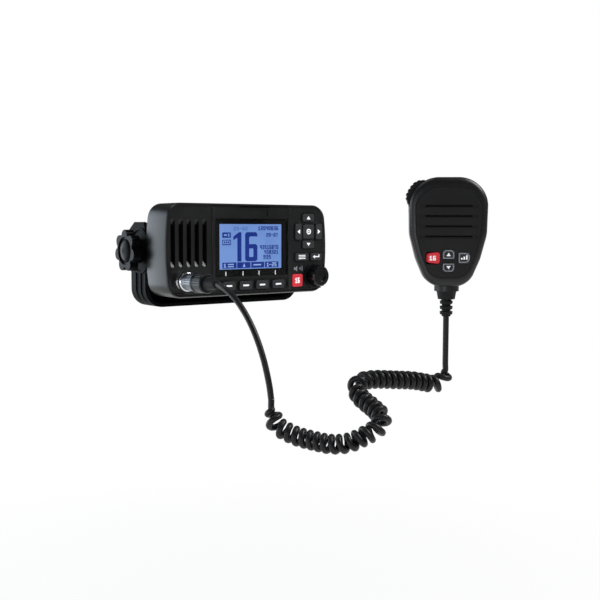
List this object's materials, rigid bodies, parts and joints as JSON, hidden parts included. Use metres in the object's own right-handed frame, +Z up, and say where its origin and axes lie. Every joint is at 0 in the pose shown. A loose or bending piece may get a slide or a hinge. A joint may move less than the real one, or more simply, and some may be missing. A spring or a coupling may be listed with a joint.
{
  "type": "fixed-mount VHF marine radio with fist microphone",
  "caption": "Boxy marine radio with screen, keypad and speaker slots, tilting in a U-shaped clamp bracket, with a hanging fist microphone on a curly cord.",
  "frame": {"origin": "centre of the bracket's four mounting holes, on the underside of its base", "axes": "+Z up, out of the mounting surface; the front panel faces -Y; +X to the right of someone who looks at the panel"},
  "size_m": [0.2225, 0.2777, 0.2104],
  "materials": {
    "black_plastic": "fine moulded grain, satin",
    "grey_plastic": "smooth satin",
    "red_plastic": "smooth, slightly glossy",
    "rubber": "matt",
    "cord_jacket": "smooth, slightly glossy",
    "cast_black": "powder coated, satin",
    "window": "clear, polished",
    "screen": "lit blue",
    "board": "solder resist",
    "bright_metal": "plated, polished",
    "grey_metal": "satin",
    "black_metal": "anodised, satin",
    "brass": "machined"
  },
  "bodies": {
    "root": {"gimbal_bracket": "cast_black", "mic_hanger": "cast_black", "plug_lead": "cord_jacket", "curly_cord": "cord_jacket", "mic_lead": "cord_jacket"},
    "radio": {"front_bezel": "black_plastic", "bezel_gasket": "rubber", "chassis": "cast_black", "case_screws": "bright_metal", "pivot_inserts": "brass", "friction_washers": "rubber", "antenna_socket": "bright_metal", "cable_glands": "black_plastic", "screen_window": "window", "lcd_panel": "screen", "lcd_frame": "black_plastic", "speaker_gasket": "rubber", "speaker_driver": "black_plastic", "keypad_mat": "rubber", "main_board": "board", "encoder_body": "grey_metal", "mic_socket": "bright_metal", "plug_barrel": "grey_metal", "plug_sleeve": "black_metal", "plug_boot": "rubber"},
    "clamp_knob_left": {"gimbal_knob_left": "black_plastic", "knob_stud_left": "bright_metal"},
    "clamp_knob_right": {"gimbal_knob_right": "black_plastic", "knob_stud_right": "bright_metal"},
    "shaft": {"encoder_shaft": "bright_metal"},
    "volume": {"volume_knob": "black_plastic"},
    "coupling_ring": {"plug_ring": "bright_metal"},
    "microphone": {"mic_front_shell": "black_plastic", "mic_back_shell": "black_plastic", "mic_face_plate": "black_plastic", "mic_key_mat": "rubber", "mic_grille_cloth": "black_plastic", "mic_board": "board", "mic_capsule": "grey_metal", "mic_hang_stud": "bright_metal", "mic_screws": "bright_metal", "mic_strain_relief": "rubber"},
    "talk": {"talk_switch": "black_plastic"},
    "soft_key_1_cap": {"soft_key_1": "grey_plastic"},
    "soft_key_2_cap": {"soft_key_2": "grey_plastic"},
    "soft_key_3_cap": {"soft_key_3": "grey_plastic"},
    "soft_key_4_cap": {"soft_key_4": "grey_plastic"},
    "key_up_cap": {"key_up": "grey_plastic"},
    "key_down_cap": {"key_down": "grey_plastic"},
    "key_left_cap": {"key_left": "grey_plastic"},
    "key_right_cap": {"key_right": "grey_plastic"},
    "key_ok_cap": {"key_ok": "grey_plastic"},
    "key_menu_cap": {"key_menu": "grey_plastic"},
    "key_back_cap": {"key_back": "grey_plastic"},
    "key_red_cap": {"key_red": "red_plastic"},
    "mic_key_red_cap": {"mic_key_red": "red_plastic"},
    "mic_key_up_cap": {"mic_key_up": "grey_plastic"},
    "mic_key_down_cap": {"mic_key_down": "grey_plastic"},
    "mic_key_side_cap": {"mic_key_side": "grey_plastic"}
  },
  "joints": [
    {"name": "radio_tilt", "type": "hinge", "parent": "root", "child": "radio", "pos_m": [0, 0, 0.0505], "axis": [1, 0, 0], "range_deg": [-20, 10], "deforming": ["plug_lead"]},
    {"name": "clamp_left_turn", "type": "hinge", "parent": "radio", "child": "clamp_knob_left", "pos_m": [-0.09, 0, 0.0505], "axis": [-1, 0, 0], "range_deg": [0, 360]},
    {"name": "clamp_right_turn", "type": "hinge", "parent": "radio", "child": "clamp_knob_right", "pos_m": [0.09, 0, 0.0505], "axis": [1, 0, 0], "range_deg": [0, 360]},
    {"name": "volume_push", "type": "slide", "parent": "radio", "child": "shaft", "axis": [0, 1, 0], "range_m": [0, 0.0008], "stiffness_N_per_m": 800, "springref_m": -0.001},
    {"name": "volume_turn", "type": "hinge", "parent": "shaft", "child": "volume", "pos_m": [0.0737, -0.059, 0.0258], "axis": [0, -1, 0], "continuous": true},
    {"name": "plug_ring_turn", "type": "hinge", "parent": "radio", "child": "coupling_ring", "pos_m": [-0.0704, -0.06, 0.0253], "axis": [0, -1, 0], "range_deg": [0, 360]},
    {"name": "microphone_lift", "type": "slide", "parent": "root", "child": "microphone", "axis": [0, 0, 1], "range_m": [0, 0.014], "deforming": ["mic_lead"]},
    {"name": "soft_key_1_press", "type": "slide", "parent": "radio", "child": "soft_key_1_cap", "axis": [0, 1, 0], "range_m": [0, 0.0008], "stiffness_N_per_m": 500, "springref_m": -0.001},
    {"name": "soft_key_2_press", "type": "slide", "parent": "radio", "child": "soft_key_2_cap", "axis": [0, 1, 0], "range_m": [0, 0.0008], "stiffness_N_per_m": 500, "springref_m": -0.001},
    {"name": "soft_key_3_press", "type": "slide", "parent": "radio", "child": "soft_key_3_cap", "axis": [0, 1, 0], "range_m": [0, 0.0008], "stiffness_N_per_m": 500, "springref_m": -0.001},
    {"name": "soft_key_4_press", "type": "slide", "parent": "radio", "child": "soft_key_4_cap", "axis": [0, 1, 0], "range_m": [0, 0.0008], "stiffness_N_per_m": 500, "springref_m": -0.001},
    {"name": "key_up_press", "type": "slide", "parent": "radio", "child": "key_up_cap", "axis": [0, 1, 0], "range_m": [0, 0.0008], "stiffness_N_per_m": 500, "springref_m": -0.001},
    {"name": "key_down_press", "type": "slide", "parent": "radio", "child": "key_down_cap", "axis": [0, 1, 0], "range_m": [0, 0.0008], "stiffness_N_per_m": 500, "springref_m": -0.001},
    {"name": "key_left_press", "type": "slide", "parent": "radio", "child": "key_left_cap", "axis": [0, 1, 0], "range_m": [0, 0.0008], "stiffness_N_per_m": 500, "springref_m": -0.001},
    {"name": "key_right_press", "type": "slide", "parent": "radio", "child": "key_right_cap", "axis": [0, 1, 0], "range_m": [0, 0.0008], "stiffness_N_per_m": 500, "springref_m": -0.001},
    {"name": "key_ok_press", "type": "slide", "parent": "radio", "child": "key_ok_cap", "axis": [0, 1, 0], "range_m": [0, 0.0008], "stiffness_N_per_m": 500, "springref_m": -0.001},
    {"name": "key_menu_press", "type": "slide", "parent": "radio", "child": "key_menu_cap", "axis": [0, 1, 0], "range_m": [0, 0.0008], "stiffness_N_per_m": 500, "springref_m": -0.001},
    {"name": "key_back_press", "type": "slide", "parent": "radio", "child": "key_back_cap", "axis": [0, 1, 0], "range_m": [0, 0.0008], "stiffness_N_per_m": 500, "springref_m": -0.001},
    {"name": "key_red_press", "type": "slide", "parent": "radio", "child": "key_red_cap", "axis": [0, 1, 0], "range_m": [0, 0.0008], "stiffness_N_per_m": 500, "springref_m": -0.001},
    {"name": "mic_key_red_press", "type": "slide", "parent": "microphone", "child": "mic_key_red_cap", "axis": [0.6561, 0.7547, 0], "range_m": [0, 0.0008], "stiffness_N_per_m": 500, "springref_m": -0.001},
    {"name": "mic_key_up_press", "type": "slide", "parent": "microphone", "child": "mic_key_up_cap", "axis": [0.6561, 0.7547, 0], "range_m": [0, 0.0008], "stiffness_N_per_m": 500, "springref_m": -0.001},
    {"name": "mic_key_down_press", "type": "slide", "parent": "microphone", "child": "mic_key_down_cap", "axis": [0.6561, 0.7547, 0], "range_m": [0, 0.0008], "stiffness_N_per_m": 500, "springref_m": -0.001},
    {"name": "mic_key_side_press", "type": "slide", "parent": "microphone", "child": "mic_key_side_cap", "axis": [0.6561, 0.7547, 0], "range_m": [0, 0.0008], "stiffness_N_per_m": 500, "springref_m": -0.001},
    {"name": "talk_press", "type": "slide", "parent": "microphone", "child": "talk", "axis": [0.633, -0.5502, -0.5446], "range_m": [0, 0.0015], "stiffness_N_per_m": 900, "springref_m": -0.002}
  ]
}
